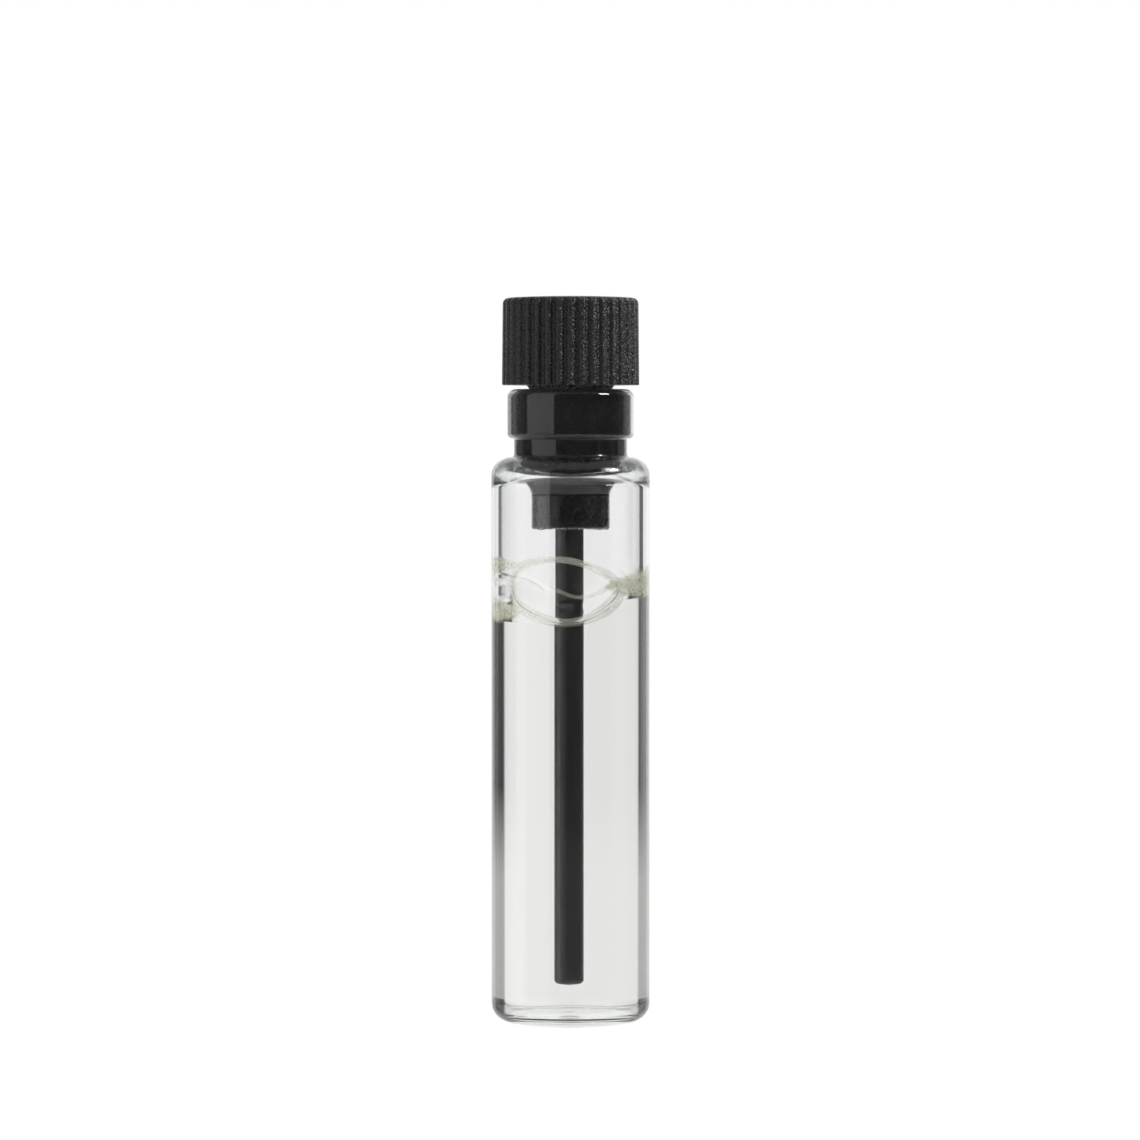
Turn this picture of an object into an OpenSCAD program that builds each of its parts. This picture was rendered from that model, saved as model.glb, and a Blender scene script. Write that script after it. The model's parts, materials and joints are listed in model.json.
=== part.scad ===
// Small glass sample vial with a ribbed push-in stopper, a dabber wand and a liquid sample.
// Millimetres. The vial stands on Z = 0 with its axis on Z.

/* [Glass body] */
// Outside diameter of the tube
body_d = 8; // [7:0.1:12]
// Thickness of the tube's wall
wall = 0.5; // [0.4:0.05:0.8]
// Thickness of the base
base_t = 0.6; // [0.4:0.05:1.2]
// Height of the top of the shoulder
shoulder_h = 28.5; // [26:0.1:45]
// Thickness of the glass at the shoulder
shoulder_t = 0.66; // [0.4:0.02:1]
// Outer radius where the wall turns into the base
base_round = 0.65; // [0.3:0.05:1]
// Inner radius where the wall turns into the floor
floor_round = 0.4; // [0.2:0.05:0.8]
// Outer radius where the wall turns into the shoulder
shoulder_round = 0.95; // [0.5:0.05:1.2]
// Inner radius under the shoulder
ceiling_round = 0.6; // [0.2:0.05:1]
// Diameter of the dimple pressed up under the base
dimple_d = 4.4; // [2:0.1:5]
// Depth of that dimple
dimple_h = 0.25; // [0.1:0.05:0.5]

/* [Neck and lip] */
// Bore that takes the stopper's plug
bore_d = 4; // [3.4:0.05:4.4]
// Outside diameter of the neck
neck_d = 5.7; // [5.4:0.05:5.9]
// Height of the bare neck between shoulder and lip
neck_h = 0.93; // [0.6:0.01:2]
// Outside diameter of the rolled lip
lip_d = 6.38; // [6.3:0.02:7]
// Height of the lip
lip_h = 2.5; // [1.5:0.05:4]
// Radius on the lip's top edge
lip_round = 0.4; // [0.2:0.02:0.5]
// Radius on the mouth's inner edge
mouth_round = 0.3; // [0.1:0.02:0.4]
// Radius on the lip's lower edge
lip_foot_round = 0.26; // [0.1:0.02:0.3]
// Radius of the small round at the neck's foot
neck_round = 0.16; // [0.05:0.01:0.18]
// Radius on the glass at the bore's inner end
bore_round = 0.65; // [0.2:0.05:0.8]

/* [Stopper] */
// Diameter of the cap over its ribs
cap_d = 6.92; // [5.6:0.02:8]
// Height of the cap
cap_h = 4.48; // [3:0.02:7]
// Rise of the cap's domed top
cap_crown = 0.1; // [0.04:0.02:0.3]
// Draft of the cap's side, taken off its radius at the top
cap_draft = 0.04; // [0:0.01:0.1]
// Radius round the cap's top edge
cap_round = 0.3; // [0.1:0.05:0.6]
// Number of grip ribs
rib_count = 36; // [24:1:48]
// Radius of a rib's round back
rib_r = 0.2; // [0.16:0.01:0.3]
// Depth of the grooves between the ribs
rib_depth = 0.18; // [0.06:0.01:0.22]
// Gap between the cap and the lip when the stopper is seated
cap_gap = 0.2; // [0.1:0.02:0.8]
// Play between the plug's seat cone and the mouth's rounded edge, on the radius
seat_play = 0.07; // [0.05:0.01:0.15]
// Length of the plug below the cap
plug_l = 7.2; // [5:0.1:10]
// Play between the plug and the bore, on the radius
plug_play = 0.03; // [0.02:0.005:0.08]
// Radius round the plug's lower edge
plug_round = 0.1; // [0.02:0.02:0.3]

/* [Dabber wand] */
// Diameter of the wand at its root under the plug
root_d = 1.44; // [1.2:0.02:2]
// Length of the thick root under the plug
root_l = 4.65; // [0.8:0.05:6]
// Length of the taper from the root to the wand
taper_l = 0.1; // [0.1:0.05:2]
// Diameter of the wand below its root
wand_d = 1.1; // [0.8:0.02:1.18]
// Gap between the wand's tip and the crown of the vial's floor
tip_gap = 1.04; // [0.3:0.02:8]
// Radius round the wand's tip
tip_round = 0.2; // [0.05:0.05:0.35]

/* [Liquid] */
// Height of the surface's rim, midway between the front wall and the back wall
fill_h = 21.65; // [5:0.05:22]
// How much higher the rim stands at the back wall than at the front wall
lean = 3.1; // [0:0.1:4]
// Radius of the surface's shallow hollow
hollow_r = 12; // [8:0.5:40]
// Play between the liquid and the glass
wet_play = 0.01; // [0.005:0.005:0.05]
// Play between the liquid and the stopper that dips into it
dip_play = 0.05; // [0.02:0.01:0.1]

/* [Hidden] */
$fn = 96;
// Sides of the wide, shallow arcs
wide_fn = 720;
// How far a cutter or a joining piece reaches past the face that it meets
over = 0.2;

// Glass, from the base up
body_r = body_d / 2;
inner_r = body_r - wall;
bore_r = bore_d / 2;
neck_r = neck_d / 2;
lip_r = lip_d / 2;
ceiling_z = shoulder_h - shoulder_t;
lip_z = shoulder_h + neck_h;
mouth_z = lip_z + lip_h;
dimple_r = ((dimple_d / 2) ^ 2 + dimple_h ^ 2) / (2 * dimple_h);
dimple_z = dimple_h - dimple_r;
// Rounds, held to the width of the ledge that they turn on
turn_r = min(neck_round, (lip_r - neck_r) / 2);
lip_foot = min(lip_foot_round, 0.8 * (lip_r - neck_r));
under_turn = 0.9 * (lip_r - neck_r - lip_foot);
shoulder_turn = min(shoulder_round, body_r - neck_r - turn_r);
bore_turn = min(bore_round, 0.45 * (inner_r - bore_r));
ceiling_turn = min(ceiling_round, 0.45 * (inner_r - bore_r));

// Stopper, from the cap down
cap_r = cap_d / 2;
cap_z = mouth_z + cap_gap;
cap_top = cap_z + cap_h;
crown_r = (cap_r ^ 2 + cap_crown ^ 2) / (2 * cap_crown);
plug_r = bore_r - plug_play;
plug_z = cap_z - plug_l;
seat_r = bore_r + mouth_round - seat_play;
seat_z = mouth_z - mouth_round / 2;
root_r = root_d / 2;
wand_r = wand_d / 2;
tip_z = base_t + dimple_h + tip_gap;

// Liquid
liquid_r = inner_r - wet_play;
brim_z = fill_h + lean / 2;
// Half the line from the rim's front to its back, and how far the hollow's centre lies above it
rim_run = norm([liquid_r, lean / 2]);
hollow_up = sqrt(hollow_r ^ 2 - rim_run ^ 2);

// A bar of the half-section, from the axis out to r, between two heights
module bar(r, low, high) {
    translate([0, low]) square([r, high - low]);
}

// What lies between a right-angled corner at [x, z] and an arc of radius r set into it,
// on the side that dx and dz point to. It rounds an edge off or fills an inner corner.
module corner(x, z, dx, dz, r) {
    difference() {
        translate([x + dx * (r - over) / 2, z + dz * (r - over) / 2])
            square(r + over, center = true);
        translate([x + dx * r, z + dz * r]) circle(r);
    }
}

// Half-section of the vial's outside
module glass_outside() {
    difference() {
        bar(body_r, 0, shoulder_h);
        corner(body_r, 0, -1, 1, base_round);
        corner(body_r, shoulder_h, -1, -1, shoulder_turn);
        translate([0, dimple_z]) circle(dimple_r, $fn = wide_fn);
    }
    bar(neck_r, shoulder_h - over, mouth_z - over);
    difference() {
        bar(lip_r, lip_z, mouth_z);
        corner(lip_r, lip_z, -1, 1, lip_foot);
        corner(lip_r, mouth_z, -1, -1, lip_round);
    }
    corner(neck_r, shoulder_h, 1, 1, turn_r);
    corner(neck_r, lip_z, 1, -1, under_turn);
}

// Half-section of the space inside the tube, drawn in by play, up to the ceiling under the shoulder
module tube_space(play) {
    difference() {
        bar(inner_r - play, base_t + play, ceiling_z - play);
        corner(inner_r - play, base_t + play, -1, 1, floor_round);
        corner(inner_r - play, ceiling_z - play, -1, -1, ceiling_turn);
        translate([0, dimple_z]) circle(dimple_r + base_t + play, $fn = wide_fn);
    }
}

// Half-section of the bore, opened out at the mouth and rounded at its inner end
module bore_space() {
    bar(bore_r, ceiling_z - over, mouth_z + over);
    corner(bore_r, mouth_z, 1, -1, mouth_round);
    corner(bore_r, ceiling_z, 1, 1, bore_turn);
}

// The blown glass: tube, base, shoulder, neck and rolled lip in one piece
module glass_vial() {
    color([0.86, 0.9, 0.89, 0.35]) rotate_extrude() difference() {
        glass_outside();
        tube_space(0);
        bore_space();
    }
}

// Half-section of the cap without its ribs: drafted side, rounded top edge and domed top
module cap_section() {
    side_top = cap_top - cap_crown;
    intersection() {
        difference() {
            polygon([[0, cap_z], [cap_r, cap_z], [cap_r - cap_draft, cap_top], [0, cap_top]]);
            corner(cap_r - cap_draft, side_top, -1, -1, cap_round);
        }
        translate([0, cap_top - crown_r]) circle(crown_r, $fn = wide_fn);
    }
}

// Round-backed ribs on a core, as a straight bar as tall as the cap
module rib_bar() {
    translate([0, 0, cap_z]) linear_extrude(cap_h) {
        circle(cap_r - rib_depth);
        for (i = [0 : rib_count - 1])
            rotate(i * 360 / rib_count) translate([cap_r - rib_r, 0]) circle(rib_r, $fn = 32);
    }
}

// Half-section of everything below the cap, grown by play: seat cone, plug and wand
module dip_section(play) {
    polygon([
        [0, tip_z - play], [wand_r + play, tip_z - play], [wand_r + play, plug_z - root_l - taper_l],
        [root_r + play, plug_z - root_l], [root_r + play, plug_z - play], [plug_r + play, plug_z - play],
        [plug_r + play, seat_z], [seat_r + play, cap_z], [seat_r + play, cap_z + over], [0, cap_z + over]
    ]);
}

// The same half-section at its true size, with its lower edges rounded
module plug_and_wand_section() {
    difference() {
        dip_section(0);
        corner(plug_r, plug_z, -1, 1, plug_round);
        corner(wand_r, tip_z, -1, 1, tip_round);
    }
}

// The moulded stopper: ribbed cap, plug and dabber wand in one piece
module stopper() {
    color([0.13, 0.13, 0.135]) {
        intersection() {
            rib_bar();
            rotate_extrude() cap_section();
        }
        rotate_extrude() plug_and_wand_section();
    }
}

// The liquid, with its leaning, shallow surface and the hole that the stopper's wand stands in
module liquid_sample() {
    color([0.93, 0.93, 0.86, 0.3]) difference() {
        rotate_extrude() intersection() {
            tube_space(wet_play);
            bar(liquid_r, 0, brim_z);
        }
        translate([0, -lean / 2, liquid_r] * hollow_up / rim_run + [0, 0, fill_h]) sphere(hollow_r);
        rotate_extrude() dip_section(dip_play);
    }
}

glass_vial();
stopper();
liquid_sample();
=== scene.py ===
"""Dressed model of a small glass sample vial with a ribbed stopper, a dabber wand and a liquid sample."""

import json
import logging
import math
from dataclasses import dataclass
from enum import Enum
from typing import Sequence

import bmesh
import bpy
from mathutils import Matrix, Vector, noise

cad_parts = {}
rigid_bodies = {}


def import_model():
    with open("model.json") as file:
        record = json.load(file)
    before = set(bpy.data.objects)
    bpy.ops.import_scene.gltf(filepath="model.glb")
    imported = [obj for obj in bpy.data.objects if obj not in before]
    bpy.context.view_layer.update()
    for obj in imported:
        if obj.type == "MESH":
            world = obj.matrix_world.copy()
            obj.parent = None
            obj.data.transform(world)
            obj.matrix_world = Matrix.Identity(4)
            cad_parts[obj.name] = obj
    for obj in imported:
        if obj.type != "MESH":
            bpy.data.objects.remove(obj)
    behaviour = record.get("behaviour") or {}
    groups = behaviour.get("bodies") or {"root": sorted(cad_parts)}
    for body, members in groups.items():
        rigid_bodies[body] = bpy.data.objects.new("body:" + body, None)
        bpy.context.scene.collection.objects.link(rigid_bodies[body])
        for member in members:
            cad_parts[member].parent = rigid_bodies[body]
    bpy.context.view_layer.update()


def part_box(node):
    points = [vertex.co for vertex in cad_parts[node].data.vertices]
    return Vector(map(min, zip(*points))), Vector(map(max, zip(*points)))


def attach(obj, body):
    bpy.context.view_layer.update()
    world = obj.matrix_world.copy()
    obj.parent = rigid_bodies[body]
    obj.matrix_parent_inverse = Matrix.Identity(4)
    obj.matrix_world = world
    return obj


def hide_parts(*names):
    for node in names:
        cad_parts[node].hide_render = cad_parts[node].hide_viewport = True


LOG = logging.getLogger("vial")

# Millimetres to Blender's metres
MM = 0.001
# Largest turn between two points of a round, in degrees
ROUND_STEP = 9.0
# Distance of the support points that keep long straight stretches flat beside a round, in millimetres
SUPPORT = 0.05
# Vertices closer than this are one vertex, in metres
WELD = 2e-7
# Angles past which an edge shows as sharp, in degrees, on pieces with soft edges and on those with crisp ones
SOFT_ANGLE = 60
CRISP_ANGLE = 40
# Name of the attribute that says how hazy a film is, from 0 to 1
HAZE = "haze"
# Refraction of the glass, of the liquid, and of the liquid's free surface, which hardly shows
GLASS_IOR = 1.5
LIQUID_IOR = 1.36
SURFACE_IOR = 1.02

Point = tuple[float, float]
Colour = tuple[float, float, float]

# Course of the ring of liquid on the front wall: how far aside and how high it is seen, in millimetres,
# and how thick it is there as a share of its radius
RING = (
    (-2.98, 22.08, 1.1), (-2.86, 22.68, 1.1), (-2.55, 23.02, 1.2), (-2.10, 23.25, 1.0),
    (-1.54, 23.37, 0.8), (-0.84, 23.45, 0.8), (-0.08, 23.40, 0.8), (0.68, 23.20, 0.8),
    (1.33, 22.92, 1.0), (1.94, 22.63, 1.2), (2.29, 22.28, 1.3), (2.49, 21.93, 1.5),
    (2.39, 21.48, 1.8), (1.84, 20.98, 1.8), (1.18, 20.59, 1.4), (0.42, 20.31, 1.0),
    (-0.43, 20.24, 1.0), (-1.34, 20.44, 1.3), (-2.10, 20.74, 1.4), (-2.66, 21.13, 1.3),
    (-2.93, 21.58, 1.2),
)


class Body(Enum):
    """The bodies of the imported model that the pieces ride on."""

    VIAL = "vial"
    STOPPER = "stopper"


class Slot(Enum):
    """The record's material slots."""

    GLASS = "glass"
    STOPPER = "stopper"
    LIQUID = "liquid"


class Cling(Enum):
    """What clings to the glass: a clear bead, a milky film or a white bubble."""

    CLEAR = "clear"
    MILKY = "milky"
    WHITE = "white"


@dataclass(frozen=True)
class Corner:
    """A corner of a half-section in millimetres, with the radius of the round that is put on it."""

    r: float
    z: float
    turn: float = 0.0


def ease(share: float) -> float:
    """A share from 0 to 1 with soft ends."""
    return share * share * (3 - 2 * share)


def reach_of(place: Vector) -> float:
    """Distance of a place from the axis, in millimetres."""
    return math.hypot(place.x, place.y) / MM


def set_reach(vertex: bpy.types.MeshVertex, reach: float) -> None:
    """Moves a vertex straight out from the axis or in towards it, to a distance in millimetres."""
    share = reach / reach_of(vertex.co)
    vertex.co.x *= share
    vertex.co.y *= share


def arc_points(centre: Point, radius: float, start: float, end: float, steps: int = 0) -> list[Point]:
    """Points along an arc of a half-section.

    Args:
        centre: Centre of the arc, in millimetres.
        radius: Radius of the arc, in millimetres.
        start: Angle of the first point, in degrees from the radial direction.
        end: Angle of the last point, in degrees.
        steps: Number of steps, or 0 to take it from the arc's turn.

    Returns:
        The points from start to end, both ends included.
    """
    steps = steps or max(2, math.ceil(abs(end - start) / ROUND_STEP))
    angles = [math.radians(start + (end - start) * i / steps) for i in range(steps + 1)]
    return [(centre[0] + radius * math.cos(a), centre[1] + radius * math.sin(a)) for a in angles]


def rounded_corner(before: Corner, corner: Corner, after: Corner) -> list[Point]:
    """Replaces one corner by the points of its round.

    Args:
        before: The corner that comes before it.
        corner: The corner to round.
        after: The corner that comes after it.

    Returns:
        The points of the arc, or the corner itself where it has no round.
    """
    place = Vector((corner.r, corner.z))
    if corner.turn <= 0.0:
        return [(place.x, place.y)]
    back = (Vector((before.r, before.z)) - place).normalized()
    ahead = (Vector((after.r, after.z)) - place).normalized()
    half = back.angle(ahead) / 2
    centre = place + (back + ahead).normalized() * corner.turn / math.sin(half)
    reach = corner.turn / math.tan(half)
    first = place + back * reach - centre
    last = place + ahead * reach - centre
    start = math.degrees(math.atan2(first.y, first.x))
    sweep = math.degrees(math.atan2(first.cross(last), first.dot(last)))
    return arc_points((centre.x, centre.y), corner.turn, start, start + sweep)


def rounded_outline(corners: Sequence[Corner]) -> list[Point]:
    """Rounds the inner corners of an open outline and adds support points beside the rounds.

    Args:
        corners: The corners in order. The first and the last are kept as they are.

    Returns:
        The outline's points, in millimetres.
    """
    outline: list[Point] = [(corners[0].r, corners[0].z)]
    for before, corner, after in zip(corners, corners[1:], corners[2:]):
        stretch = rounded_corner(before, corner, after)
        outline += supports(outline[-1], stretch[0])
        outline += stretch
    last = (corners[-1].r, corners[-1].z)
    return outline + supports(outline[-1], last) + [last]


def supports(start: Point, end: Point) -> list[Point]:
    """Two points just inside the ends of a straight stretch, or none where it is short.

    Args:
        start: First end of the stretch, in millimetres.
        end: Last end of the stretch, in millimetres.

    Returns:
        The support points in order.
    """
    line = Vector(end) - Vector(start)
    if line.length < 4 * SUPPORT:
        return []
    step = line.normalized() * SUPPORT
    return [tuple(Vector(start) + step), tuple(Vector(end) - step)]


def deselect_all() -> None:
    """Leaves every object deselected, the CAD nodes too."""
    for obj in bpy.context.view_layer.objects:
        obj.select_set(False)


def make_active(piece: bpy.types.Object) -> None:
    """Selects one piece alone and makes it the active one."""
    deselect_all()
    piece.select_set(True)
    bpy.context.view_layer.objects.active = piece


def turned(name: str, outline: Sequence[Point], sides: int) -> bpy.types.Object:
    """Turns an open outline round the Z axis into a closed shell.

    Args:
        name: Name of the new object.
        outline: Points of the half-section, in millimetres, with both ends on the axis.
        sides: Number of steps round the axis.

    Returns:
        The new object, at the origin.
    """
    deselect_all()
    bpy.ops.mesh.primitive_circle_add(vertices=len(outline), radius=MM, fill_type="NOTHING")
    piece = bpy.context.object
    piece.name = piece.data.name = name
    for vertex, (r, z) in zip(piece.data.vertices, outline):
        vertex.co = (r * MM, 0.0, z * MM)
    bpy.ops.object.mode_set(mode="EDIT")
    bpy.ops.mesh.select_all(action="DESELECT")
    section = bmesh.from_edit_mesh(piece.data)
    section.verts.ensure_lookup_table()
    closing = section.edges.get((section.verts[0], section.verts[len(outline) - 1]))
    closing.select_set(True)
    bmesh.update_edit_mesh(piece.data)
    bpy.ops.mesh.delete(type="EDGE_FACE")
    bpy.ops.mesh.select_all(action="SELECT")
    bpy.ops.mesh.spin(steps=sides, angle=math.tau, center=(0, 0, 0), axis=(0, 0, 1))
    bpy.ops.mesh.select_all(action="SELECT")
    bpy.ops.mesh.remove_doubles(threshold=WELD)
    bpy.ops.mesh.normals_make_consistent(inside=False)
    bpy.ops.object.mode_set(mode="OBJECT")
    return piece


def face_outwards(piece: bpy.types.Object) -> None:
    """Merges a piece's doubles and turns its faces outwards."""
    make_active(piece)
    bpy.ops.object.mode_set(mode="EDIT")
    bpy.ops.mesh.select_all(action="SELECT")
    bpy.ops.mesh.remove_doubles(threshold=WELD)
    bpy.ops.mesh.normals_make_consistent(inside=False)
    bpy.ops.object.mode_set(mode="OBJECT")


def smooth(piece: bpy.types.Object, angle: float) -> None:
    """Shades a piece smooth, with sharp edges past an angle in degrees."""
    make_active(piece)
    bpy.ops.object.shade_smooth_by_angle(angle=math.radians(angle))


class Graph:
    """Short ways to add and join the nodes of one shader tree."""

    def __init__(self, tree: bpy.types.NodeTree) -> None:
        """Keeps the tree that the nodes go into."""
        self.tree = tree

    def add(self, kind: str, **settings: object) -> bpy.types.Node:
        """Adds a node and sets its named properties."""
        node = self.tree.nodes.new(kind)
        for name, value in settings.items():
            setattr(node, name, value)
        return node

    def put(self, socket: bpy.types.NodeSocket, value: object) -> None:
        """Links a socket into another one, or sets that one to a plain value."""
        if isinstance(value, bpy.types.NodeSocket):
            self.tree.links.new(value, socket)
        else:
            socket.default_value = value

    def calc(self, operation: str, *values: object) -> bpy.types.NodeSocket:
        """Works out one Math node from sockets or numbers."""
        node = self.add("ShaderNodeMath", operation=operation)
        for socket, value in zip(node.inputs, values):
            self.put(socket, value)
        return node.outputs["Value"]

    def spread(
        self,
        value: bpy.types.NodeSocket,
        low: float,
        high: float,
        to: Point = (0.0, 1.0),
    ) -> bpy.types.NodeSocket:
        """Maps a value's stretch from low to high onto another stretch, held to its ends.

        Args:
            value: The value to map.
            low: Start of the stretch that counts.
            high: End of the stretch that counts.
            to: What the start and the end become.

        Returns:
            The mapped value.
        """
        node = self.add("ShaderNodeMapRange")
        names = ("Value", "From Min", "From Max", "To Min", "To Max")
        for name, part in zip(names, (value, low, high, *to)):
            self.put(node.inputs[name], part)
        return node.outputs["Result"]

    def blend(self, share: object, first: object, second: object) -> bpy.types.NodeSocket:
        """Mixes two colours by a share."""
        node = self.add("ShaderNodeMix", data_type="RGBA")
        self.put(node.inputs["Factor"], share)
        self.put(node.inputs["A"], first)
        self.put(node.inputs["B"], second)
        return node.outputs["Result"]

    def noise(self, scale: float, detail: float) -> bpy.types.NodeSocket:
        """Noise over the object's own coordinates, in features per metre."""
        node = self.add("ShaderNodeTexNoise")
        self.put(node.inputs["Vector"], self.add("ShaderNodeTexCoord").outputs["Object"])
        self.put(node.inputs["Scale"], scale)
        self.put(node.inputs["Detail"], detail)
        return node.outputs["Fac"]

    def place(self) -> bpy.types.Node:
        """The object's own coordinates in metres, split into X, Y and Z."""
        split = self.add("ShaderNodeSeparateXYZ")
        self.put(split.inputs["Vector"], self.add("ShaderNodeTexCoord").outputs["Object"])
        return split

    def height(self) -> bpy.types.NodeSocket:
        """Height in the object's own coordinates, in metres."""
        return self.place().outputs["Z"]

    def reach(self) -> bpy.types.NodeSocket:
        """Distance from the axis in the object's own coordinates, in metres."""
        split = self.place()
        squares = [self.calc("MULTIPLY", split.outputs[axis], split.outputs[axis]) for axis in ("X", "Y")]
        return self.calc("SQRT", self.calc("ADD", *squares))

    def band(self, low: float, high: float, edge: float) -> bpy.types.NodeSocket:
        """A mask that is 1 between two heights and fades out past them, all in millimetres."""
        height = self.height()
        rise = self.spread(height, (low - edge) * MM, low * MM)
        fall = self.spread(height, high * MM, (high + edge) * MM, (1.0, 0.0))
        return self.calc("MULTIPLY", rise, fall)

    def bump(self, height: bpy.types.NodeSocket, depth: float, strength: float) -> bpy.types.NodeSocket:
        """A normal that follows a height value, with the depth in millimetres."""
        node = self.add("ShaderNodeBump")
        self.put(node.inputs["Height"], height)
        self.put(node.inputs["Distance"], depth * MM)
        self.put(node.inputs["Strength"], strength)
        return node.outputs["Normal"]


class GrainGroup:
    """The shader group that gives the fine, uneven grain which the pieces' skins share."""

    NAME = "fine_grain"
    FINE_DETAIL = 2.0
    COARSE_DETAIL = 1.0
    # Scale of the coarse grain as a share of the fine one's
    COARSE_SCALE = 0.23
    # How much each of the two counts
    FINE_SHARE = 0.7
    COARSE_SHARE = 0.3
    # Stretch of the mixed grain that is spread from 0 to 1
    CONTRAST = (0.3, 0.7)

    @classmethod
    def tree(cls) -> bpy.types.NodeTree:
        """The group, made on its first use."""
        if cls.NAME in bpy.data.node_groups:
            return bpy.data.node_groups[cls.NAME]
        tree = bpy.data.node_groups.new(cls.NAME, "ShaderNodeTree")
        tree.interface.new_socket("Scale", in_out="INPUT", socket_type="NodeSocketFloat")
        tree.interface.new_socket("Grain", in_out="OUTPUT", socket_type="NodeSocketFloat")
        graph = Graph(tree)
        scale = graph.add("NodeGroupInput").outputs["Scale"]
        fine = graph.noise(scale, cls.FINE_DETAIL)
        coarse = graph.noise(graph.calc("MULTIPLY", scale, cls.COARSE_SCALE), cls.COARSE_DETAIL)
        mixed = graph.calc(
            "ADD",
            graph.calc("MULTIPLY", fine, cls.FINE_SHARE),
            graph.calc("MULTIPLY", coarse, cls.COARSE_SHARE),
        )
        grain = graph.spread(mixed, *cls.CONTRAST)
        graph.put(graph.add("NodeGroupOutput").inputs["Grain"], grain)
        return tree

    @classmethod
    def use(cls, graph: Graph, scale: float) -> bpy.types.NodeSocket:
        """Puts the group into a material.

        Args:
            graph: The material's graph.
            scale: Grains per metre.

        Returns:
            The grain, from 0 to 1.
        """
        node = graph.add("ShaderNodeGroup", node_tree=cls.tree())
        graph.put(node.inputs["Scale"], scale)
        return node.outputs["Grain"]


def new_material(name: str) -> tuple[bpy.types.Material, Graph, bpy.types.Node]:
    """Makes a node material.

    Args:
        name: Name of the material.

    Returns:
        The material, its graph and its Principled shader.
    """
    material = bpy.data.materials.new(name)
    material.use_nodes = True
    return material, Graph(material.node_tree), material.node_tree.nodes["Principled BSDF"]


@dataclass(frozen=True)
class ClearFinish:
    """A clear finish that light goes through."""

    name: str
    ior: float
    tint: Colour = (1.0, 1.0, 1.0)
    absorb_colour: Colour = (1.0, 1.0, 1.0)
    absorb_density: float = 0.0

    def start(self) -> tuple[bpy.types.Material, Graph, bpy.types.Node]:
        """Makes the plain clear material with its absorption."""
        material, graph, shader = new_material(self.name)
        shader.inputs["Base Color"].default_value = (*self.tint, 1)
        shader.inputs["Roughness"].default_value = 0.0
        shader.inputs["IOR"].default_value = self.ior
        shader.inputs["Transmission Weight"].default_value = 1.0
        if self.absorb_density > 0.0:
            absorb = graph.add("ShaderNodeVolumeAbsorption")
            absorb.inputs["Color"].default_value = (*self.absorb_colour, 1)
            absorb.inputs["Density"].default_value = self.absorb_density
            graph.put(graph.tree.nodes["Material Output"].inputs["Volume"], absorb.outputs["Volume"])
        return material, graph, shader

    def make(self) -> bpy.types.Material:
        """Makes the material."""
        return self.start()[0]


@dataclass(frozen=True)
class GlassFinish(ClearFinish):
    """Drawn glass, dulled and stippled where its shoulder and lip were formed. Sizes in millimetres."""

    # Low and high end of each dulled band, how softly it ends, and how dull it is
    bands: tuple[tuple[float, float, float, float], ...] = (
        (27.9, 28.5, 0.35, 1.0),
        (31.65, 32.0, 0.15, 0.7),
    )
    # Sum of radius and height past which a place counts as outside, and how softly that begins
    outside_from: float = 31.0
    outside_soft: float = 0.2
    grains_per_metre: float = 3500.0
    # Roughness of the dulled glass, from its smoothest to its roughest grain
    dull_roughness: Point = (0.02, 0.32)
    dull_depth: float = 0.012
    bump_strength: float = 0.4

    def make(self) -> bpy.types.Material:
        """Makes the material."""
        material, graph, shader = self.start()
        slant = graph.calc("ADD", graph.reach(), graph.height())
        outside_end = self.outside_from + self.outside_soft
        outside = graph.spread(slant, self.outside_from * MM, outside_end * MM)
        dull: bpy.types.NodeSocket | float = 0.0
        for low, high, edge, share in self.bands:
            dull = graph.calc("ADD", dull, graph.calc("MULTIPLY", share, graph.band(low, high, edge)))
        dull = graph.calc("MULTIPLY", outside, dull)
        grain = GrainGroup.use(graph, self.grains_per_metre)
        rough = graph.calc("MULTIPLY", dull, graph.spread(grain, 0.0, 1.0, self.dull_roughness))
        graph.put(shader.inputs["Roughness"], rough)
        stipple = graph.calc("MULTIPLY", grain, dull)
        graph.put(shader.inputs["Normal"], graph.bump(stipple, self.dull_depth, self.bump_strength))
        return material


@dataclass(frozen=True)
class MilkFinish:
    """The milky, stippled film that the liquid leaves on the glass. It covers as much as it is hazy."""

    name: str
    dark: Colour
    light: Colour
    grains_per_metre: float = 8000.0
    # Stretch of the grain that shows, and how much of the haze is left at its ends
    contrast: Point = (0.2, 0.8)
    stipple: Point = (0.45, 1.0)
    roughness: float = 0.6

    def make(self) -> bpy.types.Material:
        """Makes the material."""
        material, graph, shader = new_material(self.name)
        grain = GrainGroup.use(graph, self.grains_per_metre)
        haze = graph.add("ShaderNodeAttribute", attribute_name=HAZE).outputs["Fac"]
        cover = graph.calc("MULTIPLY", haze, graph.spread(grain, *self.contrast, self.stipple))
        graph.put(shader.inputs["Base Color"], graph.blend(grain, (*self.dark, 1), (*self.light, 1)))
        graph.put(shader.inputs["Alpha"], cover)
        shader.inputs["Roughness"].default_value = self.roughness
        return material


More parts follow.
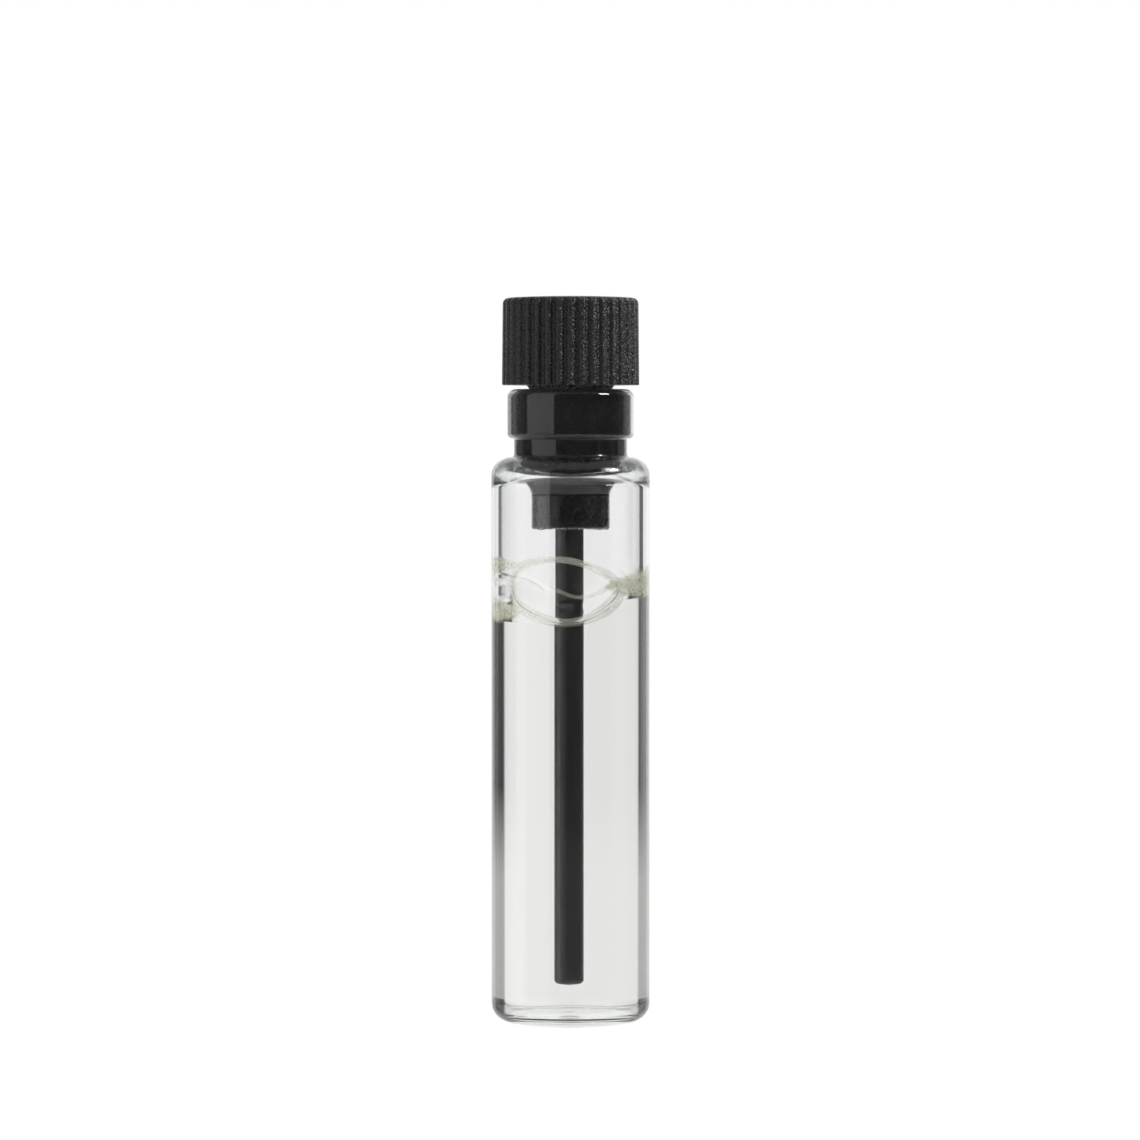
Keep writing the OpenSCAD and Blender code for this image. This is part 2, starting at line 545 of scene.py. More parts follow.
@dataclass(frozen=True)
class MouldedFinish:
    """Black moulded polyethylene with a satin, finely pitted skin. Sizes in millimetres."""

    name: str
    dark: Colour = (0.006, 0.006, 0.007)
    light: Colour = (0.020, 0.020, 0.022)
    smooth_to_rough: Point = (0.12, 0.42)
    pits_per_metre: float = 11000.0
    pit_depth: float = 0.05
    bump_strength: float = 0.8
    shine: float = 0.5
    # Pale flakes along a trimmed rim, partly the whitish thin flash that trimming leaves and partly painted
    # glints on it: their colour, the rim's height, and the least radius that has them
    flash_and_glints: Colour = (0.55, 0.55, 0.53)
    flash_z: float = 0.0
    flash_r: float = 1.75
    # How far they reach below and above the rim, and how softly they end
    flash_span: Point = (0.2, 0.01)
    flash_edge: float = 0.02
    flakes_per_metre: float = 9000.0
    flake_detail: float = 1.0
    # Noise above which a flake lies
    flake_from: float = 0.54

    def make(self) -> bpy.types.Material:
        """Makes the material."""
        material, graph, shader = new_material(self.name)
        grain = GrainGroup.use(graph, self.pits_per_metre)
        tone = graph.blend(grain, (*self.dark, 1), (*self.light, 1))
        # Pale flakes on the frayed rim: partly whitish thin flash, partly painted glints
        if self.flash_z > 0.0:
            speckle = graph.noise(self.flakes_per_metre, self.flake_detail)
            flakes = graph.calc("GREATER_THAN", speckle, self.flake_from)
            rim = graph.calc("GREATER_THAN", graph.reach(), self.flash_r * MM)
            below, above = self.flash_span
            level = graph.band(self.flash_z - below, self.flash_z + above, self.flash_edge)
            flash_and_glints = graph.calc("MULTIPLY", flakes, graph.calc("MULTIPLY", rim, level))
            tone = graph.blend(flash_and_glints, tone, (*self.flash_and_glints, 1))
        graph.put(shader.inputs["Base Color"], tone)
        graph.put(shader.inputs["Roughness"], graph.spread(grain, 0.0, 1.0, self.smooth_to_rough))
        graph.put(shader.inputs["Normal"], graph.bump(grain, self.pit_depth, self.bump_strength))
        shader.inputs["Specular IOR Level"].default_value = self.shine
        return material


@dataclass
class GlassVial:
    """The glass, formed from drawn tube: base, wall, shoulder, neck and rolled lip. Sizes in millimetres."""

    outer_r: float
    mouth_z: float
    wall: float = 0.5
    base_t: float = 0.6
    shoulder_z: float = 28.5
    shoulder_t: float = 0.42
    base_turn: float = 0.9
    floor_turn: float = 0.4
    shoulder_turn: float = 0.95
    ceiling_turn: float = 0.85
    dimple_r: float = 2.2
    dimple_h: float = 0.25
    dimple_steps: int = 8
    bore_r: float = 1.965
    neck_r: float = 2.85
    lip_r: float = 3.19
    lip_z: float = 29.43
    lip_turn: float = 0.4
    lip_foot_turn: float = 0.26
    mouth_turn: float = 0.3
    neck_turn: float = 0.16
    neck_top_turn: float = 0.07
    # The collar of glass that runs down round the plug from the bore
    collar_r: float = 2.32
    collar_top: float = 27.75
    collar_z: float = 26.55
    collar_turn: float = 0.35
    collar_foot_turn: float = 0.02
    sides: int = 256

    @property
    def inner_r(self) -> float:
        """Radius of the tube's inside."""
        return self.outer_r - self.wall

    @property
    def ceiling_z(self) -> float:
        """Height of the ceiling under the shoulder."""
        return self.shoulder_z - self.shoulder_t

    @property
    def dimple_sphere(self) -> float:
        """Radius of the sphere that the dimple is part of."""
        return (self.dimple_r**2 + self.dimple_h**2) / (2 * self.dimple_h)

    def dimple_arc(self, grow: float, low: float) -> list[Point]:
        """The dimple's arc, grown outwards, from the axis to where it meets a height.

        Args:
            grow: How far the arc lies above the dimple's own face.
            low: Height at which the arc ends.

        Returns:
            The arc's points, from the axis outwards.
        """
        radius = self.dimple_sphere + grow
        centre_z = self.dimple_h - self.dimple_sphere
        end = math.degrees(math.asin((low - centre_z) / radius))
        return arc_points((0.0, centre_z), radius, 90, end, self.dimple_steps)

    def inside_corners(self, grow: float) -> list[Corner]:
        """Corners of the tube's inside from the floor's crown edge up to the wall, grown into the glass."""
        floor_z = self.base_t - grow
        edge_r = self.dimple_arc(self.base_t - grow, floor_z)[-1][0]
        return [
            Corner(edge_r, floor_z),
            Corner(self.inner_r + grow, floor_z, self.floor_turn),
        ]

    def build(self) -> bpy.types.Object:
        """Builds the glass as one turned shell."""
        under = self.dimple_arc(0.0, 0.0)
        over = self.dimple_arc(self.base_t, self.base_t)
        corners = [
            Corner(*under[-1]),
            Corner(self.outer_r, 0.0, self.base_turn),
            Corner(self.outer_r, self.shoulder_z, self.shoulder_turn),
            Corner(self.neck_r, self.shoulder_z, self.neck_turn),
            Corner(self.neck_r, self.lip_z, self.neck_top_turn),
            Corner(self.lip_r, self.lip_z, self.lip_foot_turn),
            Corner(self.lip_r, self.mouth_z, self.lip_turn),
            Corner(self.bore_r, self.mouth_z, self.mouth_turn),
            Corner(self.bore_r, self.collar_z, self.collar_foot_turn),
            Corner(self.collar_r, self.collar_top, self.collar_turn),
            Corner(self.inner_r, self.ceiling_z, self.ceiling_turn),
            Corner(self.inner_r, self.base_t, self.floor_turn),
            Corner(*over[-1]),
        ]
        outline = under[:-1] + rounded_outline(corners) + over[-2::-1]
        outline[0] = (0.0, outline[0][1])
        outline[-1] = (0.0, outline[-1][1])
        piece = turned("glass_body", outline, self.sides)
        smooth(piece, SOFT_ANGLE)
        return piece

    def dress(self, piece: bpy.types.Object, finish: GlassFinish) -> None:
        """Gives the glass its finish and puts it in its node's place."""
        piece.data.materials.append(finish.make())
        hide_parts("glass_vial")
        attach(piece, Body.VIAL.value)


@dataclass
class Stopper:
    """The moulded stopper: ribbed cap, seat cone, plug and dabber wand. Sizes in millimetres."""

    tip_z: float
    cap_top: float
    cap_r: float
    # Heights between which the glass presses on the plug
    pressed: Point
    cap_h: float = 4.48
    cap_crown: float = 0.1
    cap_draft: float = 0.04
    cap_turn: float = 0.3
    cap_foot_turn: float = 0.06
    # Radii at which the domed top has its points, from its edge to the axis
    crown_radii: tuple[float, ...] = (2.7, 2.0, 1.2, 0.5, 0.0)
    rib_count: int = 36
    rib_r: float = 0.2
    rib_depth: float = 0.18
    # Radius from which the grooves are pressed in
    groove_from: float = 2.34
    seat_r: float = 2.23
    seat_h: float = 0.35
    seat_turn: float = 0.1
    plug_r: float = 1.97
    plug_l: float = 7.2
    plug_turn: float = 0.1
    # How much of the plug's rim frays, across and up, and how far down it hangs at most
    fray_width: float = 0.25
    fray_height: float = 0.08
    fray_drop: float = 0.09
    # Waves of the frayed rim, coarse and fine, and how much the fine ones count
    fray_waves: Point = (24, 67)
    fray_fine: float = 0.7
    root_r: float = 0.72
    root_l: float = 4.65
    root_turn: float = 0.1
    taper_l: float = 0.1
    wand_r: float = 0.55
    wand_aside: float = -0.06
    tip_turn: float = 0.2
    tip_dome: float = 0.1
    # How far out of the root's radius a place still belongs to the wand
    wand_margin: float = 0.12
    # How far below the plug's lower end its finish begins, so that the frayed rim has it too
    rim_margin: float = 0.15
    steps_per_rib: int = 12

    @property
    def cap_z(self) -> float:
        """Height of the cap's underside."""
        return self.cap_top - self.cap_h

    @property
    def plug_z(self) -> float:
        """Height of the plug's lower end."""
        return self.cap_z - self.plug_l

    def rib_reach(self, angle: float) -> float:
        """Radius of the ribbed outline.

        Args:
            angle: Angle round the axis, in radians.

        Returns:
            The radius there, in millimetres.
        """
        pitch = math.tau / self.rib_count
        off = (angle + pitch / 2) % pitch - pitch / 2
        centre = self.cap_r - self.rib_r
        inside = self.rib_r**2 - (centre * math.sin(off)) ** 2
        back = centre * math.cos(off) + math.sqrt(inside) if inside > 0 else 0.0
        return max(self.cap_r - self.rib_depth, back)

    def press_grooves(self, piece: bpy.types.Object) -> None:
        """Presses the grooves between the ribs into the cap."""
        for vertex in piece.data.vertices:
            reach = reach_of(vertex.co)
            if vertex.co.z > (self.cap_z - SUPPORT) * MM and reach > self.groove_from:
                limit = self.rib_reach(math.atan2(vertex.co.y, vertex.co.x))
                if limit < reach:
                    set_reach(vertex, limit)

    def fray_rim(self, piece: bpy.types.Object) -> None:
        """Makes the plug's lower rim uneven, as a trimmed edge is."""
        for vertex in piece.data.vertices:
            low = abs(vertex.co.z / MM - self.plug_z) < self.fray_height
            if low and reach_of(vertex.co) > self.plug_r - self.fray_width:
                angle = math.atan2(vertex.co.y, vertex.co.x)
                ring = Vector((math.cos(angle), math.sin(angle), 0.0))
                coarse, fine = [noise.noise(ring * waves) for waves in self.fray_waves]
                vertex.co.z -= max(0.0, coarse + self.fray_fine * fine) * self.fray_drop * MM

    def set_wand_aside(self, piece: bpy.types.Object) -> None:
        """Moves the wand a little aside from the axis."""
        for vertex in piece.data.vertices:
            thin = reach_of(vertex.co) < self.root_r + self.wand_margin
            if thin and vertex.co.z < self.plug_z * MM + WELD:
                vertex.co.x += self.wand_aside * MM

    def build(self) -> bpy.types.Object:
        """Builds the stopper as one turned shell, presses its grooves and frays its rim."""
        side_top = self.cap_top - self.cap_crown
        crown = [(r, self.cap_top - self.cap_crown * (r / self.cap_r) ** 2) for r in self.crown_radii]
        corners = [
            Corner(0.0, self.tip_z),
            Corner(self.wand_r, self.tip_z + self.tip_dome, self.tip_turn),
            Corner(self.wand_r, self.plug_z - self.root_l - self.taper_l),
            Corner(self.root_r, self.plug_z - self.root_l),
            Corner(self.root_r, self.plug_z, self.root_turn),
            Corner(self.plug_r, self.plug_z, self.plug_turn),
            Corner(self.plug_r, self.pressed[0]),
            Corner(self.plug_r, self.cap_z - self.seat_h, self.seat_turn),
            Corner(self.seat_r, self.cap_z),
            Corner(self.cap_r, self.cap_z, self.cap_foot_turn),
            Corner(self.cap_r - self.cap_draft, side_top, self.cap_turn),
            Corner(*crown[0]),
        ]
        outline = rounded_outline(corners) + crown[1:]
        piece = turned("stopper_moulding", outline, self.rib_count * self.steps_per_rib)
        self.press_grooves(piece)
        self.fray_rim(piece)
        self.set_wand_aside(piece)
        smooth(piece, CRISP_ANGLE)
        return piece

    def dress(
        self,
        piece: bpy.types.Object,
        cap: MouldedFinish,
        pressed: MouldedFinish,
        plug: MouldedFinish,
        wand: MouldedFinish,
    ) -> None:
        """Gives the stopper its finishes and puts it in its node's place.

        Args:
            piece: The stopper's mesh.
            cap: Finish of the cap, pitted for grip.
            pressed: Finish of the plug where the glass presses on it and takes its shine away, its tone
                raised as painted light to the grey that shows there.
            plug: Finish of the plug below the bore, its tone painted shade, far darker than the rest of the
                same moulding.
            wand: Finish of the wand.
        """
        # One black polyethylene: the plug below the bore is toned far darker than the rest as painted shade,
        # the pressed plug lighter as painted light
        for finish in (wand, plug, pressed, cap):
            piece.data.materials.append(finish.make())
        starts = (self.plug_z - self.rim_margin, *self.pressed)
        for face in piece.data.polygons:
            thin = reach_of(face.center) < self.root_r + self.wand_margin
            on_wand = thin and face.center.z < self.pressed[0] * MM
            height = self.tip_z if on_wand else face.center.z / MM
            face.material_index = sum(height > start for start in starts)
        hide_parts("stopper")
        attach(piece, Body.STOPPER.value)


@dataclass(frozen=True)
class FilmLine:
    """A bead of liquid on the front wall's inside.

    Its places are how far aside and how high they are seen from the front, in millimetres, and how thick
    the bead is there as a share of its radius.
    """

    name: str
    places: tuple[tuple[float, float, float], ...]
    radius: float
    kind: Cling
    closed: bool = False
    haze: float = 0.0
    # How far it stands off the glass, as a share of its width
    rise: float = 0.7
    # Steps from place to place, how finely the bead is rounded, and order of its curve
    steps: int = 8
    fineness: int = 5
    order: int = 4


@dataclass(frozen=True)
class FilmPatch:
    """A thin film on the tube's inside, between two turns from the front in degrees and two heights."""

    name: str
    turns: Point
    heights: Point
    kind: Cling = Cling.MILKY
    haze: float = 0.9
    # Faces along and across
    grid: tuple[int, int] = (48, 16)
    # How uneven its edge is, and how many bays it has
    ragged: float = 0.22
    bays: float = 1.7
    # How much narrower it is towards the front, as a share of its height
    narrowing: float = 0.55
    # Lumps per radian round the wall and per millimetre up it, where they are cut from the noise,
    # and how much they count
    lumps: Point = (8, 2.2)
    lump_cut: float = 0.3
    lump_share: float = 0.25
    # Distance in from the edge, from 0 to 1, at which it is fully hazy and fully thick
    hazy_from: float = 0.7
    thick_from: float = 0.5


@dataclass
class Liquid:
    """The liquid, with its leaning surface and what clings to the glass. Sizes in millimetres."""

    glass: GlassVial
    glass_ior: float
    # How far it laps into the glass
    wet: float = 0.02
    # Height of the wall's last ring below the surface
    wall_top: float = 18.0
    # Rings on the surface, and steps round the axis
    rings: int = 24
    sides: int = 256
    # Thickness that a film gains towards its middle, and thickness of its edge
    film_t: float = 0.03
    film_skin: float = 0.001
    # Height at which the surface meets the glass, by the turn from the front to the right in degrees
    contact: tuple[Point, ...] = (
        (-180, 23.3), (-135, 22.4), (-95, 20.8), (-75, 20.3), (-40, 20.25), (0, 20.2),
        (18, 20.4), (32, 21.0), (45, 21.4), (75, 21.5), (95, 21.7), (135, 22.8),
    )
    # Height of the surface at the axis, and how strongly it bends towards its rim
    axis_z: float = 21.2
    bend: float = 1.5
    lines: tuple[FilmLine, ...] = (
        FilmLine("film_ring", RING, 0.2, Cling.MILKY, closed=True, haze=0.26, rise=0.1),
        FilmLine("ring_bead", RING, 0.055, Cling.CLEAR, closed=True),
        FilmLine(
            "film_arc",
            (
                (-1.02, 22.05, 0.5), (-0.80, 21.95, 0.8), (-0.40, 21.78, 1.0), (0.02, 21.60, 1.0),
                (0.42, 21.53, 1.0), (0.98, 21.58, 1.0), (1.54, 21.83, 1.1), (1.92, 22.05, 1.2),
                (2.30, 22.32, 0.5),
            ),
            0.1,
            Cling.MILKY,
            haze=0.2,
            rise=0.1,
        ),
        FilmLine(
            "bubble_arc",
            (
                (-3.89, 22.55, 1.4), (-3.70, 22.66, 1.5), (-3.40, 22.66, 1.4), (-3.11, 22.58, 1.0),
                (-2.66, 22.50, 0.8), (-2.20, 22.42, 0.9), (-1.85, 22.27, 0.9), (-1.54, 22.10, 0.7),
                (-1.32, 21.90, 0.4),
            ),
            0.05,
            Cling.CLEAR,
        ),
    )
    patches: tuple[FilmPatch, ...] = (
        FilmPatch("film_left_high", (-105, -40), (22.6, 23.6), haze=0.55),
        FilmPatch("film_left_low", (-105, -38), (20.05, 21.55), haze=0.75),
        FilmPatch("left_bubble", (-105, -47), (21.92, 22.52), Cling.WHITE, 0.75),
        FilmPatch("left_bubble_foot", (-105, -47), (21.1, 21.66), Cling.WHITE, 0.75),
        FilmPatch("film_right", (20, 108), (21.1, 23.1), haze=0.8),
    )

    @property
    def reach(self) -> float:
        """Radius of the liquid, which laps into the glass so that no air lies between them."""
        return self.glass.inner_r + self.wet

    def contact_z(self, turn: float) -> float:
        """Height at which the surface meets the glass.

        Args:
            turn: Turn from the front to the right, in degrees from -180 to 180.

        Returns:
            The height, in millimetres.
        """
        stops = (*self.contact, (180.0, self.contact[0][1]))
        for (start, low), (end, high) in zip(stops, stops[1:]):
            if turn <= end:
                share = (turn - start) / (end - start)
                return low + (high - low) * ease(share)
        return stops[-1][1]

    def surface_z(self, x: float, y: float) -> float:
        """Height of the surface over a place in the tube, in millimetres."""
        edge = self.contact_z(math.degrees(math.atan2(x, -y)))
        return self.axis_z + (edge - self.axis_z) * (math.hypot(x, y) / self.reach) ** self.bend

    def wall_turn(self, aside: float) -> float:
        """Turn from the front at which a place on the tube's inside is seen through the glass.

        Args:
            aside: How far from the axis the place is seen, in millimetres.

        Returns:
            The turn, in radians.
        """
        outside = math.asin(aside / self.glass.outer_r)
        in_glass = math.asin(aside / self.glass.outer_r / self.glass_ior)
        inside = math.asin(aside / self.glass.inner_r / self.glass_ior)
        return outside - in_glass + inside

    def build_body(self) -> bpy.types.Object:
        """Builds the liquid as a closed turned body and lays its top onto the surface."""
        floor = self.glass.dimple_arc(self.glass.base_t - self.wet, self.glass.base_t - self.wet)
        corners = self.glass.inside_corners(self.wet) + [Corner(self.reach, self.wall_top)]
        top = self.glass.mouth_z
        rim = [(self.reach * (1 - (i / self.rings)), top) for i in range(self.rings + 1)]
        outline = floor[:-1] + rounded_outline(corners) + rim
        outline[0] = (0.0, outline[0][1])
        outline[-1] = (0.0, top)
        piece = turned("liquid_body", outline, self.sides)
        for vertex in piece.data.vertices:
            if vertex.co.z > self.glass.shoulder_z * MM:
                vertex.co.z = self.surface_z(vertex.co.x / MM, vertex.co.y / MM) * MM
        smooth(piece, CRISP_ANGLE)
        return piece

    def set_haze(self, piece: bpy.types.Object, levels: Sequence[float]) -> None:
        """Notes how hazy a film is at each of its vertices."""
        layer = piece.data.attributes.new(HAZE, "FLOAT", "POINT")
        layer.data.foreach_set("value", levels)

    def build_line(self, line: FilmLine) -> bpy.types.Object:
        """Builds one bead along the front wall's inside.

        Args:
            line: The bead's course and radius.

        Returns:
            The bead as a closed mesh.
        """
        curve = bpy.data.curves.new(line.name, "CURVE")
        curve.dimensions = "3D"
        curve.bevel_depth = line.radius * MM
        curve.bevel_resolution = line.fineness
        curve.use_fill_caps = True
        curve.resolution_u = line.steps
        course = curve.splines.new("NURBS")
        course.points.add(len(line.places) - 1)
        for point, (aside, z, thick) in zip(course.points, line.places):
            turn = self.wall_turn(aside)
            across = self.reach - line.radius * thick
            point.co = (across * math.sin(turn) * MM, -across * math.cos(turn) * MM, z * MM, 1)
            point.radius = thick
        course.order_u = line.order
        course.use_cyclic_u = line.closed
        course.use_endpoint_u = not line.closed
        piece = bpy.data.objects.new(line.name, curve)
        bpy.context.scene.collection.objects.link(piece)
        make_active(piece)
        bpy.ops.object.convert(target="MESH")
        for vertex in piece.data.vertices:
            set_reach(vertex, self.reach - (self.reach - reach_of(vertex.co)) * line.rise)
        self.set_haze(piece, [line.haze] * len(piece.data.vertices))
        face_outwards(piece)
        smooth(piece, SOFT_ANGLE)
        return piece

    def build_patch(self, patch: FilmPatch) -> bpy.types.Object:
        """Builds one film patch with uneven edges on the tube's inside.

        Args:
            patch: The patch's turns and heights.

        Returns:
            The patch as a closed thin mesh.
        """
        deselect_all()
        along, across = patch.grid
        bpy.ops.mesh.primitive_grid_add(x_subdivisions=along, y_subdivisions=across, size=2)
        piece = bpy.context.object
        piece.name = piece.data.name = patch.name
        middle = sum(patch.heights) / 2
        half = (patch.heights[1] - patch.heights[0]) / 2
        thickness = []
        haze = []
        for vertex in piece.data.vertices:
            u = vertex.co.x * math.sqrt(1 - vertex.co.y**2 / 2)
            v = vertex.co.y * math.sqrt(1 - vertex.co.x**2 / 2)
            bay = Vector((u, v, 0)).normalized() * patch.bays + Vector((0, 0, middle))
            shape = 1 + patch.ragged * noise.noise(bay)
            turn = math.radians(patch.turns[0] + (patch.turns[1] - patch.turns[0]) * (u * shape + 1) / 2)
            z = middle + v * shape * half * (1 - patch.narrowing * max(0.0, math.cos(turn)))
            lump = noise.noise(Vector((turn * patch.lumps[0], z * patch.lumps[1], patch.lump_cut)))
            inside = max(0.0, 1 - u**2 - v**2)
            share = max(0.0, min(1.0, (inside + patch.lump_share * lump) / patch.hazy_from))
            haze.append(patch.haze * ease(share))
            thickness.append(self.film_t * min(1.0, inside / patch.thick_from))
            vertex.co = (self.reach * math.sin(turn) * MM, -self.reach * math.cos(turn) * MM, z * MM)
        front = len(thickness)
        make_active(piece)
        bpy.ops.object.modifier_add(type="SOLIDIFY")
        shell = piece.modifiers[-1]
        shell.thickness = self.film_t * MM
        bpy.ops.object.modifier_apply(modifier=shell.name)
        for vertex in piece.data.vertices[front:]:
            set_reach(vertex, self.reach - self.film_skin - thickness[vertex.index - front])
            vertex.co.z = piece.data.vertices[vertex.index - front].co.z
        self.set_haze(piece, haze + haze)
        face_outwards(piece)
        smooth(piece, SOFT_ANGLE)
        return piece

    def build(self) -> tuple[bpy.types.Object, list[tuple[bpy.types.Object, Cling]]]:
        """Builds the liquid's body, and the beads and films that cling to the glass."""
        clinging = [(self.build_line(line), line.kind) for line in self.lines]
        clinging += [(self.build_patch(patch), patch.kind) for patch in self.patches]
        return self.build_body(), clinging

    def dress(
        self,
        body: bpy.types.Object,
        clinging: Sequence[tuple[bpy.types.Object, Cling]],
        bulk: ClearFinish,
        surface: ClearFinish,
        films: dict[Cling, ClearFinish | MilkFinish],
    ) -> None:
        """Gives the liquid its finishes, joins it and puts it in its node's place.

        Args:
            body: The liquid's body.
            clinging: The beads and films, each with its kind.
            bulk: Finish of the body against the glass.
            surface: Finish of the body's free surface.
            films: Finish of each kind of bead and film.
        """
        body.data.materials.append(bulk.make())
        body.data.materials.append(surface.make())
        for face in body.data.polygons:
            inside = reach_of(face.center) < self.reach - self.wet
            face.material_index = int(inside and face.center.z > self.wall_top * MM)
        made = {kind: finish.make() for kind, finish in films.items()}
        make_active(body)
        for piece, kind in clinging:
            piece.data.materials.append(made[kind])
            piece.select_set(True)
        bpy.ops.object.join()
        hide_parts("liquid_sample")
        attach(body, Body.VIAL.value)


@dataclass(frozen=True)
class Studio:
    """Pale floor, soft light all round and the camera at the photograph's viewing angle. Sizes in metres."""

    eye: tuple[float, float, float] = (-0.00003, -0.232, 0.030)
    aim: tuple[float, float, float] = (-0.00003, 0.0, 0.0228)
    # Focal length, in millimetres
    lens: float = 145.1
    clip_start: float = 0.01
    # The floor's half width, and how far it reaches to the front and to the back
    floor_half: float = 0.066
    floor_near: float = 0.132
    floor_far: float = 0.6
    # Brightness of the floor in the glass
    floor_glow: float = 0.95
    # Brightest light that the world can give
    peak: float = 3.0
    # Light from above, as it shows through the glass and as it mirrors
    overhead: Point = (0.95, 0.6)
    # Rise of a direction, from -1 to 1, over which each light takes over from the one beside it
    overhead_rise: Point = (0.6, 0.75)
    edge_rise: Point = (-0.078, -0.098)
    floor_rise: Point = (-0.25, -0.4)
    # Limit on how often light bounces in all and passes through pieces, and on how often it mirrors
    bounces: int = 32
    mirror_bounces: int = 16
    lamp_place: tuple[float, float, float] = (0.155, -0.055, 0.135)
    lamp_aim: tuple[float, float, float] = (0, 0, 0.03)
    lamp_size: float = 0.05
    lamp_watts: float = 0.3
    # Light round the horizon: degrees to the right of straight behind the vial, and brightness.
    # The first is what shows through the glass, the second what mirrors in it and falls on the cap,
    # and the third lies just below the horizon.
    through: tuple[Point, ...] = (
        (-180, 0.03), (-147, 0.03), (-145, 0.42), (-108, 0.42), (-105, 1.0), (-70, 1.0), (-67, 0.5),
        (-64, 0.5), (-60, 0.14), (-40.5, 0.14), (-39.5, 0.04), (-37.2, 0.04), (-35.8, 0.92), (34.2, 0.92),
        (35.5, 0.03), (60, 0.03), (66, 0.5), (70, 0.06), (150, 0.06), (155, 0.03), (180, 0.03),
    )
    mirrored: tuple[Point, ...] = (
        (-180, 0.03), (-150, 0.03), (-149, 1.0), (-95, 1.0), (-93, 0.05), (-66, 0.05), (-64, 0.2),
        (-34, 0.2), (-30, 0.8), (-12, 0.8), (0, 1.0), (34.5, 1.0), (36, 0.3), (66, 0.3), (68, 0.05),
        (180, 0.03),
    )
    floor_through: tuple[Point, ...] = (
        (-180, 0.12), (-147, 0.12), (-145, 0.42), (-108, 0.42), (-105, 1.0), (-72, 1.0), (-64, 0.44),
        (-37.2, 0.44), (-35.8, 0.95), (34.2, 0.95), (35.5, 0.44), (64, 0.44), (72, 0.12), (180, 0.12),
    )
    # What falls on the dull things inside the glass
    inside: tuple[Point, ...] = ((-180, 1.2), (-150, 2.5), (-40, 2.5), (0, 1.0), (180, 1.0))

    def place_camera(self) -> None:
        """Makes the camera."""
        data = bpy.data.cameras.new("camera")
        data.lens = self.lens
        data.clip_start = self.clip_start
        camera = bpy.data.objects.new("camera", data)
        camera.location = self.eye
        camera.rotation_euler = (Vector(self.aim) - Vector(self.eye)).to_track_quat("-Z", "Y").to_euler()
        bpy.context.scene.collection.objects.link(camera)
        bpy.context.scene.camera = camera

    def lay_floor(self) -> None:
        """Lays the pale floor, which only the camera sees. In the glass the world's light stands in."""
        deselect_all()
        bpy.ops.mesh.primitive_plane_add(size=2)
        floor = bpy.context.object
        floor.name = "floor"
        for vertex in floor.data.vertices:
            vertex.co.x *= self.floor_half
            vertex.co.y = self.floor_far if vertex.co.y > 0 else -self.floor_near
        material, _, shader = new_material("pale_floor")
        shader.inputs["Base Color"].default_value = (0, 0, 0, 1)
        shader.inputs["Roughness"].default_value = 1.0
        shader.inputs["Specular IOR Level"].default_value = 0.0
        shader.inputs["Emission Color"].default_value = (1, 1, 1, 1)
        shader.inputs["Emission Strength"].default_value = 1.0
        floor.data.materials.append(material)
        floor.visible_diffuse = floor.visible_glossy = floor.visible_transmission = False

    def grey(self, level: float) -> tuple[float, float, float, float]:
        """A grey of a given brightness, as a share of the peak."""
        return (level / self.peak, level / self.peak, level / self.peak, 1.0)

    def turn_share(self, graph: Graph, direction: bpy.types.Node) -> bpy.types.NodeSocket:
        """Turn of a split direction round the vial, from 0 to 1 and a half straight behind it."""
        turn = graph.calc("ARCTAN2", direction.outputs["X"], direction.outputs["Y"])
        return graph.spread(turn, -math.pi, math.pi)

    def hang_lamp(self) -> None:
        """Hangs the soft lamp at the front right, above the vial."""
        data = bpy.data.lights.new("lamp", "AREA")
        data.size = self.lamp_size
        data.energy = self.lamp_watts
        lamp = bpy.data.objects.new("lamp", data)
        lamp.location = self.lamp_place
        towards = Vector(self.lamp_aim) - Vector(self.lamp_place)
        lamp.rotation_euler = towards.to_track_quat("-Z", "Y").to_euler()
        bpy.context.scene.collection.objects.link(lamp)

    def horizon(
        self,
        graph: Graph,
        share: bpy.types.NodeSocket,
        stops: Sequence[Point],
    ) -> bpy.types.NodeSocket:
        """Lays the brightness round the horizon.

        Args:
            graph: The world's graph.
            share: Turn round the horizon, from 0 to 1.
            stops: Degrees and brightness.

        Returns:
            The brightness as a share of the peak.
        """
        node = graph.add("ShaderNodeValToRGB")
        graph.put(node.inputs["Fac"], share)
        elements = node.color_ramp.elements
        while len(elements) < len(stops):
            elements.new(1.0)
        for element, (degrees, level) in zip(elements, stops):
            element.position = (degrees + 180) / 360
            element.color = self.grey(level)
        return node.outputs["Color"]

